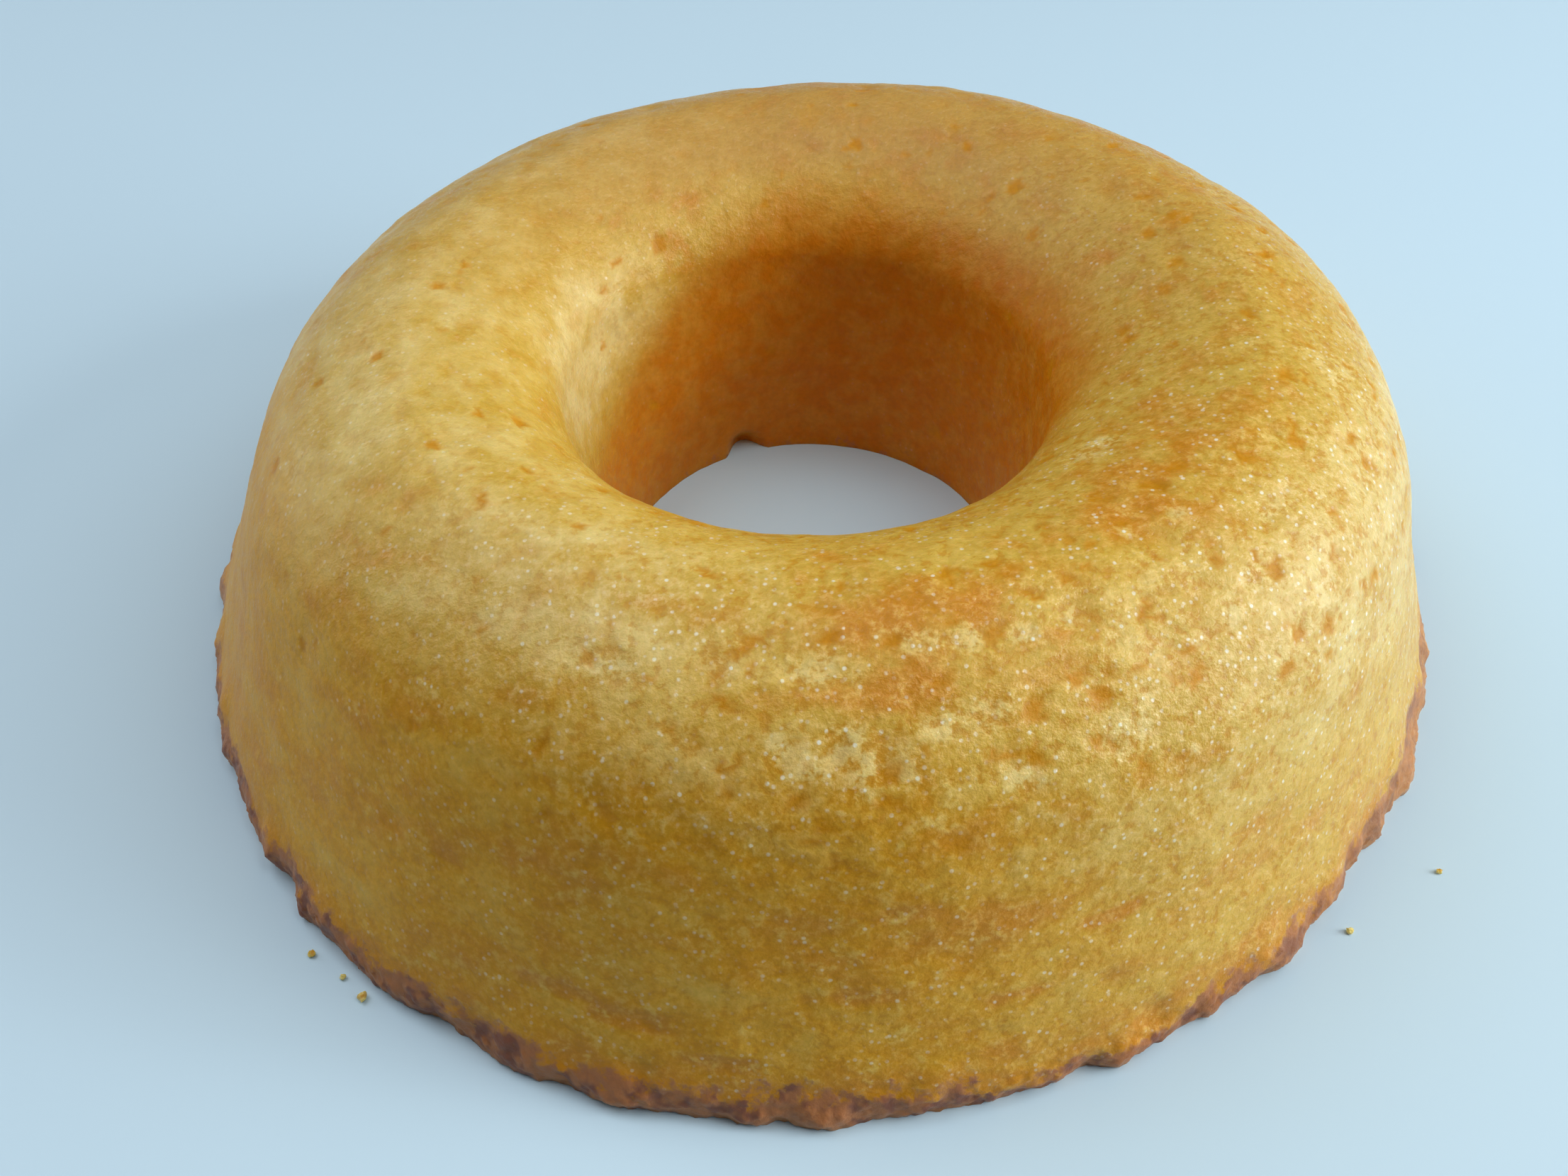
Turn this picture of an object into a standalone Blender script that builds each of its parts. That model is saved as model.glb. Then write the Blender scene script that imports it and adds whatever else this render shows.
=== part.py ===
"""A cassava ring cake, baked in a plain ring mould and turned out with its rounded side up.

Metres, +Z up. The origin lies on the surface that the cake rests on, in the middle of its base.
The cake is one solid: a turned ring, then the unevenness of the real thing pressed into it.
"""

import math
import random

import bpy
from mathutils import Vector, noise

# Driving sizes
BASE_RADIUS = 0.0940
HEIGHT = 0.0510
HOLE_RADIUS = 0.0305

# The ring's section, from the browned rim up the wall, over the arch and down the hole
FOOT = (0.0928, 0.0060)
SHOULDER = (0.0812, 0.0348)
CROWN_RADIUS = 0.0583
HOLE_SHOULDER = (0.0351, 0.0362)
ARCH_POWER = 1.16

# Where each stretch of the section has its points
RIM_HEIGHTS = (0.0011, 0.0030, 0.0046)
RIM_BULGE = 0.0007
WALL_STEPS = 6
OUTER_ARCH_STEPS = 8
INNER_ARCH_STEPS = 6
HOLE_STEPS = 5
TURN_STEPS = 180

# The crown leans to one side over the base, and the hole is a little off the middle
LEAN = Vector((0.0031, 0.0007, 0.0))
HOLE_OFFSET = Vector((0.0001, -0.0013, 0.0))

# Slow waves of the base outline: crests round the cake, depth, and where the first crest is
RIM_WAVES = (
    (2, 0.00040, -58.0),
    (3, 0.00027, 25.0),
    (4, 0.00028, -48.0),
    (7, 0.00015, -64.0),
)

# Crust that stands out of the base outline, or is broken off it: azimuth, half width, reach
RIM_LUMPS = (
    (172.0, 6.0, 0.0014),
    (158.0, 4.0, -0.0009),
    (133.0, 5.0, 0.0010),
    (104.0, 4.0, -0.0008),
    (84.0, 6.0, 0.0006),
    (57.0, 4.0, 0.0010),
    (38.0, 3.5, -0.0010),
    (17.0, 4.0, -0.0008),
    (-16.0, 7.0, 0.0013),
    (-30.0, 4.5, 0.0015),
    (-39.0, 3.5, -0.0013),
    (-51.0, 3.5, 0.0009),
    (-70.0, 2.5, -0.0009),
    (-90.0, 2.5, 0.0009),
    (-113.0, 5.0, 0.0007),
    (-120.0, 2.0, -0.0009),
    (-140.0, 3.0, -0.0006),
    (-152.0, 3.0, -0.0007),
    (-165.0, 5.0, 0.0006),
)
RIM_LUMP_TOP = 0.0062

# Small crags of the browned rim, some out and some in
CRAG_COUNT = 110
CRAG_HALF_WIDTH = (0.0032, 0.0058)
CRAG_REACH = (0.0003, 0.0009)
CRAG_TOP = 0.0070

# A piece broken out of the hole's edge at the base
NOTCH_AZIMUTH = 111.0
NOTCH_HALF_WIDTH = 0.0042
NOTCH_DEPTH = 0.0036
NOTCH_TOP = 0.0050

# Shallow dents where air or crumb came away with the mould
DENT_COUNT = 90
DENT_RADIUS = (0.0022, 0.0046)
DENT_DEPTH = (0.0003, 0.0009)

# Swell of the whole surface: wavelength and height
SWELLS = (
    (0.026, 0.00065),
    (0.009, 0.00022),
)

SEED = 11
CRUMB_COLOUR = (0.60, 0.33, 0.055, 1.0)
CRUMB_ROUGHNESS = 0.5


def clear_scene():
    for thing in list(bpy.data.objects):
        bpy.data.objects.remove(thing, do_unlink=True)


def blend_points(start, end, steps):
    """Points on the straight line from start to end, without start itself."""
    shares = [step / steps for step in range(1, steps + 1)]
    return [
        (start[0] + (end[0] - start[0]) * share, start[1] + (end[1] - start[1]) * share)
        for share in shares
    ]


def arch_points(shoulder, steps):
    """Points of the arch from a shoulder up to the crown, without the shoulder itself."""
    points = []
    for step in range(1, steps + 1):
        angle = math.pi / 2 * step / steps
        across = max(math.cos(angle), 0.0) ** ARCH_POWER
        up = math.sin(angle) ** ARCH_POWER
        radius = CROWN_RADIUS + (shoulder[0] - CROWN_RADIUS) * across
        points.append((radius, shoulder[1] + (HEIGHT - shoulder[1]) * up))
    return points


def section():
    """The closed section as (radius, height), from the base's outer edge round to its inner one."""
    points = [(BASE_RADIUS, 0.0)]
    for height in RIM_HEIGHTS:
        share = height / FOOT[1]
        straight = BASE_RADIUS + (FOOT[0] - BASE_RADIUS) * share
        points.append((straight + RIM_BULGE * math.sin(math.pi * share), height))
    points.append(FOOT)
    points += blend_points(FOOT, SHOULDER, WALL_STEPS)
    points += arch_points(SHOULDER, OUTER_ARCH_STEPS)
    inner = arch_points(HOLE_SHOULDER, INNER_ARCH_STEPS)
    points += inner[-2::-1]
    points.append(HOLE_SHOULDER)
    points += blend_points(HOLE_SHOULDER, (HOLE_RADIUS, 0.0), HOLE_STEPS)
    return points


def turned_ring():
    """The section turned about the upright axis, as a plain mesh."""
    profile = section()
    profile.reverse()
    outline = bpy.data.meshes.new("section")
    corners = [(radius, 0.0, height) for radius, height in profile]
    last = len(corners) - 1
    edges = [(index, index + 1) for index in range(last)] + [(last, 0)]
    outline.from_pydata(corners, edges, [])
    ring = bpy.data.objects.new("section", outline)
    bpy.context.scene.collection.objects.link(ring)
    screw = ring.modifiers.new("turn", "SCREW")
    screw.axis = "Z"
    screw.steps = TURN_STEPS
    screw.render_steps = TURN_STEPS
    screw.use_merge_vertices = True
    screw.merge_threshold = 0.00001
    screw.use_smooth_shade = True
    graph = bpy.context.evaluated_depsgraph_get()
    turned = bpy.data.meshes.new_from_object(ring.evaluated_get(graph))
    bpy.data.objects.remove(ring, do_unlink=True)
    bpy.data.meshes.remove(outline)
    return turned


def hump(distance):
    """A smooth bump: 1 in the middle, 0 from a distance of 1 outwards."""
    return (1.0 - distance * distance) ** 2 if distance < 1.0 else 0.0


def turn_between(first, second):
    """The angle between two azimuths in degrees, from 0 to 180."""
    return abs((first - second + 180.0) % 360.0 - 180.0)


def outward(azimuth):
    """The level unit vector that points away from the axis at an azimuth in degrees."""
    return Vector((math.cos(math.radians(azimuth)), math.sin(math.radians(azimuth)), 0.0))


def fade_up(height, top):
    """1 at the base, falling smoothly to 0 at the height top."""
    return hump(min(height / top, 1.0))


def rim_reach(azimuth, height):
    """How far the outline stands out of its circle, from its waves and its lumps."""
    waves = sum(
        depth * math.cos(math.radians(crests * azimuth - first))
        for crests, depth, first in RIM_WAVES
    )
    lumps = sum(
        reach * hump(turn_between(azimuth, middle) / half_width)
        for middle, half_width, reach in RIM_LUMPS
    )
    return waves * fade_up(height, HEIGHT) + lumps * fade_up(height, RIM_LUMP_TOP)


def make_crags(draw):
    """The rim's small crags as (azimuth in degrees, height, half width, reach)."""
    crags = []
    for _ in range(CRAG_COUNT):
        azimuth = draw.uniform(-180.0, 180.0)
        height = draw.uniform(0.0, CRAG_TOP)
        half_width = draw.uniform(*CRAG_HALF_WIDTH)
        reach = draw.uniform(*CRAG_REACH) * draw.choice((1.0, 1.0, -1.0))
        crags.append((azimuth, height, half_width, reach))
    return crags


def crag_reach(crags, azimuth, height):
    """How far the small crags push the rim out at one place."""
    reach = 0.0
    for middle, level, half_width, most in crags:
        along = math.radians(turn_between(azimuth, middle)) * BASE_RADIUS
        if along < half_width:
            reach += most * hump(math.hypot(along, height - level) / half_width)
    return reach


def point_along(points, share):
    """The place at a share of the way along a line of points."""
    lengths = [math.dist(start, end) for start, end in zip(points, points[1:])]
    left = share * sum(lengths)
    for start, end, length in zip(points, points[1:], lengths):
        if left <= length:
            part = left / length
            return (start[0] + (end[0] - start[0]) * part, start[1] + (end[1] - start[1]) * part)
        left -= length
    return points[-1]


def make_dents(draw):
    """Shallow dents above the rim as (middle, radius, depth), spread evenly over the surface."""
    points = section()
    dents = []
    while len(dents) < DENT_COUNT:
        across, height = point_along(points, draw.random())
        azimuth = draw.uniform(-180.0, 180.0)
        kept = draw.random() < across / BASE_RADIUS
        radius = draw.uniform(*DENT_RADIUS)
        depth = draw.uniform(*DENT_DEPTH)
        if kept and height > CRAG_TOP + radius:
            middle = outward(azimuth) * across + Vector((0.0, 0.0, height))
            dents.append((middle, radius, depth))
    return dents


def dent_depth(dents, place):
    """How deep the dents press in the surface at one place."""
    depth = 0.0
    for middle, radius, most in dents:
        distance = (place - middle).length
        if distance < radius:
            depth = max(depth, most * hump(distance / radius))
    return depth


def notch_depth(place, azimuth):
    """How deep the piece broken out of the hole's base edge goes at one place."""
    along = math.radians(turn_between(azimuth, NOTCH_AZIMUTH)) * HOLE_RADIUS
    return NOTCH_DEPTH * hump(along / NOTCH_HALF_WIDTH) * fade_up(place.z, NOTCH_TOP)


def swell(place):
    """The height of the surface's slow swell at one place."""
    return sum(height * noise.noise(place / wave) for wave, height in SWELLS)


def shift_off_axis(place, in_hole):
    """How far one place moves sideways, by the lean and by the hole's offset."""
    share = place.z / HEIGHT
    lean = LEAN * share
    if not in_hole:
        return lean
    low = min(place.z / HOLE_SHOULDER[1], 1.0)
    top = max((place.z - HOLE_SHOULDER[1]) / (HEIGHT - HOLE_SHOULDER[1]), 0.0)
    return HOLE_OFFSET * (1.0 - top) + LEAN * top * low


def press_unevenness(mesh):
    """Moves each point of the turned ring to where the real cake's surface is."""
    draw = random.Random(SEED)
    crags = make_crags(draw)
    dents = make_dents(draw)
    normals = [corner.normal.copy() for corner in mesh.vertices]
    moved = []
    for corner, normal in zip(mesh.vertices, normals):
        place = corner.co.copy()
        azimuth = math.degrees(math.atan2(place.y, place.x))
        out = outward(azimuth)
        in_hole = math.hypot(place.x, place.y) < CROWN_RADIUS
        shift = shift_off_axis(place, in_hole)
        if in_hole:
            shift += out * notch_depth(place, azimuth)
        else:
            shift += out * rim_reach(azimuth, place.z)
            shift += out * crag_reach(crags, azimuth, place.z)
        shift += normal * (swell(place) - dent_depth(dents, place))
        if place.z < RIM_HEIGHTS[0] / 2:
            shift.z = 0.0
        moved.append(place + shift)
    for corner, place in zip(mesh.vertices, moved):
        corner.co = place


def crumb_material():
    material = bpy.data.materials.new("crumb")
    material.use_nodes = True
    shader = material.node_tree.nodes["Principled BSDF"]
    shader.inputs["Base Color"].default_value = CRUMB_COLOUR
    shader.inputs["Roughness"].default_value = CRUMB_ROUGHNESS
    shader.inputs["Metallic"].default_value = 0.0
    return material


def make_cake():
    mesh = turned_ring()
    press_unevenness(mesh)
    mesh.name = "cake"
    mesh.materials.clear()
    mesh.materials.append(crumb_material())
    mesh.shade_smooth()
    cake = bpy.data.objects.new("cake", mesh)
    parts = bpy.data.collections.new("cassava_cake")
    bpy.context.scene.collection.children.link(parts)
    parts.objects.link(cake)


clear_scene()
make_cake()
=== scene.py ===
"""The looks of the cassava ring cake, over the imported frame.

The frame's solid gives the size and the slow form. This script repeats that form from the same
named sizes and the same random draws, on a much finer mesh. Then it adds what is too fine for the
solid: pits, torn skin, the grain of the crumb, the ragged browned rim and the loose crumbs.
Metres, +Z up, in the frame's own axes. The photo looks at the side that faces -Y.
"""

import math
import random

import bmesh
import bpy
import numpy as np
from mathutils import Matrix, Vector, noise
from mathutils.kdtree import KDTree


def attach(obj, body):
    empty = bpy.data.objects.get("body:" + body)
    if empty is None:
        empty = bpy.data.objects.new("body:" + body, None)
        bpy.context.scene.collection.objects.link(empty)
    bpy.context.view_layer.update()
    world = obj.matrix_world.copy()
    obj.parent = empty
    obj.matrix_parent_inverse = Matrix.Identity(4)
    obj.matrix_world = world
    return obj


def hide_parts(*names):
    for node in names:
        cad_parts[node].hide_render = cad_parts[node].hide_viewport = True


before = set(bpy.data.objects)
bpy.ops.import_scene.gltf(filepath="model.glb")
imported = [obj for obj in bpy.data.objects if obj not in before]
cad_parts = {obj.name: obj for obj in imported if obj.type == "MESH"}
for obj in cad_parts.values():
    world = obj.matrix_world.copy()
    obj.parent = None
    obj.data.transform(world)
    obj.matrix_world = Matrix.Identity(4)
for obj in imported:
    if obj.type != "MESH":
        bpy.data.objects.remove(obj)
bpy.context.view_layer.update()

MM = 0.001

# ---------------------------------------- the solid's form, as in the CAD
BASE_RADIUS = 0.0940
HEIGHT = 0.0510
HOLE_RADIUS = 0.0305
FOOT = (0.0928, 0.0060)
SHOULDER = (0.0812, 0.0348)
CROWN_RADIUS = 0.0583
HOLE_SHOULDER = (0.0351, 0.0362)
ARCH_POWER = 1.16
RIM_HEIGHTS = (0.0011, 0.0030, 0.0046)
RIM_BULGE = 0.0007
WALL_STEPS = 6
OUTER_ARCH_STEPS = 8
INNER_ARCH_STEPS = 6
HOLE_STEPS = 5
LEAN = (0.0031, 0.0007, 0.0)
HOLE_OFFSET = (0.0001, -0.0013, 0.0)
RIM_WAVES = (
    (2, 0.00040, -58.0),
    (3, 0.00027, 25.0),
    (4, 0.00028, -48.0),
    (7, 0.00015, -64.0),
)
RIM_LUMPS = (
    (172.0, 6.0, 0.0014),
    (158.0, 4.0, -0.0009),
    (133.0, 5.0, 0.0010),
    (104.0, 4.0, -0.0008),
    (84.0, 6.0, 0.0006),
    (57.0, 4.0, 0.0010),
    (38.0, 3.5, -0.0010),
    (17.0, 4.0, -0.0008),
    (-16.0, 7.0, 0.0013),
    (-30.0, 4.5, 0.0015),
    (-39.0, 3.5, -0.0013),
    (-51.0, 3.5, 0.0009),
    (-70.0, 2.5, -0.0009),
    (-90.0, 2.5, 0.0009),
    (-113.0, 5.0, 0.0007),
    (-120.0, 2.0, -0.0009),
    (-140.0, 3.0, -0.0006),
    (-152.0, 3.0, -0.0007),
    (-165.0, 5.0, 0.0006),
)
RIM_LUMP_TOP = 0.0062
CRAG_COUNT = 110
CRAG_HALF_WIDTH = (0.0032, 0.0058)
CRAG_REACH = (0.0003, 0.0009)
CRAG_TOP = 0.0070
NOTCH_AZIMUTH = 111.0
NOTCH_HALF_WIDTH = 0.0042
NOTCH_DEPTH = 0.0036
NOTCH_TOP = 0.0050
DENT_COUNT = 90
DENT_RADIUS = (0.0022, 0.0046)
DENT_DEPTH = (0.0003, 0.0009)
SWELLS = (
    (0.026, 0.00065),
    (0.009, 0.00022),
)
SEED = 11

# ---------------------------------------- the fine surface
POINT_SPACING = 0.00081
RIM_SPACING = 0.00050
FINE_RIM_TOP = 0.0090
POINT_JITTER = 0.16
FINE_RIM_STEPS, FINE_WALL_STEPS, FINE_ARCH_STEPS = 16, 60, 90
# What differs from the solid: a softer turn from the wall to the arch, and shallower dents
SHOULDER_SOFTENING = 0.0060
SOFT_START = (0.0120, 0.0240)
DENT_SHARE = 0.35
SHEET_RADIUS = 0.075

# A zone on the surface is its azimuth in degrees, and then in mm its distance along the section
# from the base's outer edge, its half width round the cake and its half height along the section.

# Patches where the skin came off with the mould, as zones
TORN_PATCHES = (
    (-89.0, 49.3, 8.0, 4.2),
    (-93.0, 50.4, 4.0, 2.6),
    (-78.0, 52.7, 5.5, 3.0),
    (-81.0, 52.0, 4.0, 2.2),
    (-75.0, 45.3, 4.0, 2.6),
    (-92.0, 58.7, 6.5, 2.6),
    (-101.0, 58.3, 2.6, 2.4),
    (-82.0, 61.4, 3.4, 1.8),
    (-78.0, 61.0, 3.2, 2.2),
    (-72.0, 60.3, 2.6, 1.8),
    (-67.0, 60.3, 2.2, 2.0),
    (-66.0, 46.5, 6.0, 3.6),
    (-63.0, 49.7, 2.2, 1.8),
    (-61.0, 53.1, 1.5, 2.6),
    (-56.0, 52.3, 2.6, 1.4),
    (-52.0, 53.1, 2.6, 2.2),
    (-48.0, 54.7, 1.8, 1.8),
    (-49.0, 66.1, 2.0, 1.2),
    (-46.0, 46.4, 3.0, 1.6),
    (-42.0, 47.8, 4.0, 3.4),
    (-39.0, 58.7, 5.0, 1.5),
    (-41.0, 82.0, 4.5, 3.6),
    (-158.0, 51.0, 5.0, 4.4),
    (-112.0, 56.0, 5.5, 2.8),
    (95.0, 50.0, 7.0, 3.5),
    (52.0, 47.0, 8.0, 4.2),
    (20.0, 44.0, 6.0, 4.0),
    (150.0, 44.0, 7.0, 3.6),
)

# Broad zones that are paler, each with how pale it is: partly paler crumb, partly painted light,
# as broad painted highlights and sheen and a lighter band below the front shoulder
PALE_AND_LIT_ZONES = (
    (-32.0, 44.0, 60.0, 26.0, 1.0),
    (-10.0, 34.0, 42.0, 34.0, 1.0),
    (-60.0, 38.0, 40.0, 22.0, 0.5),
    (-170.0, 66.0, 80.0, 36.0, 0.85),
    (164.0, 97.0, 30.0, 20.0, 1.6),
    (-122.0, 63.0, 42.0, 24.0, 1.0),
    (-102.0, 47.0, 40.0, 12.0, 0.65),
    (-178.0, 2.0, 45.0, 9.0, 0.7),
    (-18.0, 2.0, 80.0, 11.0, 0.7),
    (135.0, 66.0, 44.0, 24.0, 0.75),
)

# Zones where the skin is more baked, each with how baked it is
BAKED_ZONES = (
    (-88.0, 55.6, 17.0, 3.0, 0.6),
    (-88.0, 65.5, 26.0, 6.0, 0.5),
    (-76.0, 40.5, 18.0, 3.0, 0.4),
    (-137.0, 61.5, 14.0, 6.0, 0.35),
    (-40.0, 71.0, 22.0, 10.0, 0.45),
    (-84.0, 28.0, 24.0, 3.5, 0.5),
)

# Larger pits that show one by one: azimuth in degrees, distance along the section and radius (mm)
LARGE_PITS = (
    (-49.0, 43.3, 1.9),
    (-58.0, 48.9, 1.7),
    (-45.0, 53.5, 1.9),
    (-50.0, 58.7, 1.2),
    (-47.0, 45.7, 1.2),
    (-38.0, 49.3, 1.0),
    (-58.0, 52.0, 1.2),
    (-63.0, 52.7, 1.0),
    (-59.0, 56.7, 1.0),
    (-69.0, 53.9, 1.3),
    (-60.0, 67.9, 1.2),
    (-55.0, 68.8, 1.1),
    (-63.0, 65.8, 1.0),
    (-74.0, 46.7, 1.6),
    (-76.0, 47.8, 1.5),
    (-83.0, 49.7, 0.9),
    (-86.0, 44.7, 1.5),
    (-93.0, 45.0, 1.6),
    (-99.0, 47.8, 1.5),
    (-100.0, 54.7, 1.1),
    (-81.0, 56.7, 1.1),
    (-75.0, 61.0, 1.4),
    (-79.0, 63.3, 1.2),
    (-85.0, 61.8, 1.6),
    (-91.0, 62.6, 1.6),
    (-98.0, 62.2, 1.4),
    (169.0, 72.8, 1.5),
    (142.0, 89.7, 1.3),
    (154.0, 100.0, 1.1),
    (-153.0, 75.9, 1.2),
    (-131.0, 74.7, 1.1),
    (-135.0, 67.2, 1.4),
    (-72.0, 70.0, 1.5),
    (-42.0, 71.0, 1.3),
)
PIT_COUNT = 460
PIT_SEED = 23
PIT_EDGE_MARGIN = 0.0040
PIT_CHANCE, PIT_CHANCE_SIDE = 0.55, 0.45
PIT_CHANCE_LOW, PIT_CHANCE_TOP, PIT_LESS_IN_HOLE = 0.05, 0.95, 0.6
PIT_HOLLOW = (0.11, 0.22)
PIT_STRETCH = (0.5, 1.0)
PIT_LEAST_MM, PIT_SPREAD_MM, PIT_SIZE_POWER = 0.65, 1.05, 2.4
NAMED_PIT_STRETCH, NAMED_PIT_TURN = 0.62, 0.5
PIT_RAGGED, PIT_RAGGED_SIZE = 0.55, 0.0011
PIT_REACH = 1.7
PIT_BOWL_POWER = 2.6
PIT_SHADE = (0.05, 0.75)
PIT_FULL_RADIUS = 0.0011

# Loose crumbs beside the base: place on the floor and radius (mm)
LOOSE_CRUMBS = (
    (83.1, -60.9, 0.40),
    (68.8, -69.6, 0.45),
    (-65.0, -71.3, 0.50),
    (-57.0, -77.4, 0.65),
    (-60.2, -74.6, 0.40),
)
LOOSE_SEED = 5
LOOSE_LUMP_SIZE, LOOSE_LUMPINESS, LOOSE_FLATNESS = 0.8, 0.55, 0.75

# Sideways tears low on the front wall, as zones, each with its depth in mm
TEARS = (
    (-104.0, 14.0, 7.5, 1.9, 0.32),
    (-84.0, 31.0, 6.0, 1.5, 0.12),
    (-121.0, 27.0, 3.0, 1.2, 0.12),
    (-68.0, 24.0, 6.0, 1.4, 0.12),
    (-110.0, 15.5, 7.0, 1.6, 0.25),
    (-88.0, 20.0, 8.0, 1.5, 0.15),
    (-76.0, 17.0, 7.0, 1.5, 0.15),
    (-97.0, 10.0, 6.0, 1.6, 0.25),
)
TEAR_RAGGED, TEAR_RAGGED_SIZE = 0.4, 0.0024
FULL_TEAR = 0.12

# Stretches along the section, as the distances where they start and end
HOLLOW_START = (0.030, 0.046)
PIT_START = (0.030, 0.044)
TOP_END = (0.088, 0.104)
SHOULDER_MIDDLE, SHOULDER_HALF_HEIGHT = 0.058, 0.026
FAR_START = (0.040, 0.066)
FAR_END = (0.078, 0.092)
HOLE_START, HOLE_START_LOWER, HOLE_FADE = 0.0770, 0.026, 0.024
WALL_TOP, WALL_TOP_SIDE, WALL_FADE = 0.052, 0.008, 0.024
WALL_SIDE, WALL_LEAST, WALL_MORE = (0.05, 0.30), 0.25, 0.75
LOW_WALL = (0.0030, 0.0130)

# Sectors round the cake, as azimuth and half width in degrees
FAR_SECTOR = (88.0, 120.0)
HOLE_LEFT = (175.0, 85.0)
HOLE_NEAR = (-90.0, 90.0)
RIM_RIGHT = (-21.0, 30.0)
RIM_BARE = (-72.0, 16.0)

# Azimuths in degrees where one thing is most, or where the wall's deeper yellow, partly painted
# shade, is least
MOST_TORN = -30.0
MOST_OPEN = -35.0
MOST_PITS = -25.0
LEAST_WALL = -25.0
MOST_BROWNED = -115.0

# How open the crumb is: what it is at least, and what the side that it faces adds
OPEN_LEAST, OPEN_MORE, OPEN_SIDE = 0.35, 0.65, (0.20, 0.85)

# Torn skin: the ragged edge of a patch, and how much is torn in scattered places
TORN_STRETCH = (1.0, 1.0, 1.6)
TORN_EDGE_SIZE, TORN_EDGE_FINE_SIZE = 0.0042, 0.0019
TORN_WIDE_SIZE, TORN_WIDE_FINE_SIZE = 0.011, 0.0038
PATCH_EDGE = (-0.25, 0.75)
SCATTER_EDGE = (0.35, 1.35)
SCATTER_SHARE = 0.75

# Shallow hollows between the grains
HOLLOW_BEND, HOLLOW_BEND_SIZE = 0.0011, 0.0034
HOLLOW_STRETCH = (1.0, 1.0, 1.35)
HOLLOW_SIZE, HOLLOW_FINE_SIZE, HOLLOW_FINE = 0.0033, 0.0017, 0.45
HOLLOW_EDGE = (0.16, 0.62)
HOLLOW_LEAST, HOLLOW_LESS_IN_HOLE = 0.30, 0.7
HOLLOW_SHADE = 0.30

# The browned rim: how high it reaches up the wall, and what changes that
BROWNED_TOP = 0.0046
BROWNED_TOP_LEFT = 0.0010
BROWNED_TOP_RAGGED = 0.0022
BROWNED_TOP_RIGHT = 0.0034
BROWNED_TOP_BARE = 0.0026
BROWNED_BELOW, BROWNED_ABOVE = 0.0030, 0.0034
HOLE_BROWNED_TOP, HOLE_BROWNED_RAGGED, HOLE_BROWNED = 0.0014, 0.0008, 0.45

# Noise in two sizes: the coarse size, the fine size, the fine one's weight, and an offset
BROWNED_NOISE = (0.0065, 0.0024, 0.8, 31.0)
CRUMB_NOISE = (0.0030, 0.0018, 0.7, 41.0)
PEBBLE_NOISE = (0.0052, 0.0024, 0.7, 45.0)
RAGGED_NOISE = (0.0034, 0.0017, 0.8, 51.0)
LUMP_SIZE, LUMP_FINE_SIZE, LUMP_FINE = 0.0019, 0.0010, 0.6

# Heights of the fine relief
CRUMB_RELIEF = 0.00014
TORN_SINK = 0.00012
PEBBLE_RELIEF = 0.00012
HOLLOW_DEPTH = 0.00011
RIM_RELIEF_TOP, RIM_RELIEF_FADE = 0.0072, 0.0035
RIM_RAGGED = 0.00022
RIM_LUMPINESS = 0.00050
RIM_SINK = 0.00030
BASE_LEVEL = 0.00001
LEAST_HEIGHT = 0.00004

# Uneven baking: bands and patches, each as stretch, size, layers, roughness, offset
BAND_NOISE = ((1.0, 1.0, 2.0), 0.0150, 3, 0.55, 81.0)
PATCH_NOISE = ((1.0, 1.0, 1.5), 0.0060, 3, 0.60, 85.0)
BAND_WEIGHT, PATCH_WEIGHT = 0.70, 0.85
TEAR_WARMTH, LOW_WARMTH, PALE_COOLNESS = 0.9, 0.6, 0.5
BAKED_NEARNESS = 0.7

# ---------------------------------------- colours, as sRGB bytes
SKIN = (213, 173, 66)
# The wall's deeper yellow: partly its own colour, partly painted shade on the side away from the
# light
WALL_IN_SHADE = (221, 157, 18)
BAKED = (212, 143, 34)
# The far side's duller skin: partly more baked, partly a painted sheen of reflected light
FAR_SKIN_AND_SHEEN = (186, 134, 76)
# Down in the hole, darker further down: partly darker baked skin, partly painted shade
HOLE_TOP = (203, 141, 36)
HOLE_SKIN_AND_SHADE = (203, 119, 4)
CRUMB = (231, 197, 92)
CRUMB_PALE = (237, 213, 140)
# Pale grains: partly the crumb's own, partly painted light where the surface counts as lit
GRAIN = (244, 206, 112)
GRAIN_PALE = (244, 220, 160)
# Painted glints: white highlights painted into the colour as small dots
PAINTED_GLINT = (255, 246, 220)
# Amber: painted shade in the creases, and in pits and hollows partly painted shade, partly the
# crumb's own colour
AMBER_SHADE = (206, 138, 10)
RIM = (180, 118, 74)
RIM_DARK = (140, 88, 66)
# Paler rim: partly paler crust, partly painted light
RIM_PALE = (203, 154, 104)
FLOOR = (205, 232, 249)
FLOOR_DIM = 0.97

# ---------------------------------------- what drives each blend
# Each is where a blend starts and ends, and then what it gives there if that isn't 0 and 1
BAKED_BLEND = (-0.10, 0.75)
LIGHT_BLEND = (-1.1, 0.15, 1.0, 0.0)
LIGHT_ON_WALL = (0.0, 1.0, 1.0, 0.60)
WORN_BLEND = (0.14, 1.02)
WORN_BROKEN = (0.35, 0.62, 0.45, 1.0)
TORN_CLUMPS = (0.38, 0.58, 0.45, 1.0)
CREASE_BLEND = (0.03, 0.20, 0.0, 0.55)
GRAIN_BLEND = (-0.08, 0.24)
GRAIN_LIT = (-0.2, 0.9, 0.26, 0.60)
PAINTED_GLINT_CLUSTERS = (0.40, 0.60, 0.2, 1.0)
PAINTED_GLINT_EDGE = (0.16, 0.36, 1.0, 0.0)
PAINTED_GLINT_CHANCE = (0.35, 0.90)
PAINTED_GLINT_LIT = (-0.3, 0.6, 0.38, 1.0)
HOLE_BLEND = (0.0, 0.70)
HOLE_BROKEN = (0.32, 0.68, 1.0, 0.74)
HOLE_DEEPER = (0.25, 0.95)
RIM_SPOTS = (0.44, 0.60)
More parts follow.
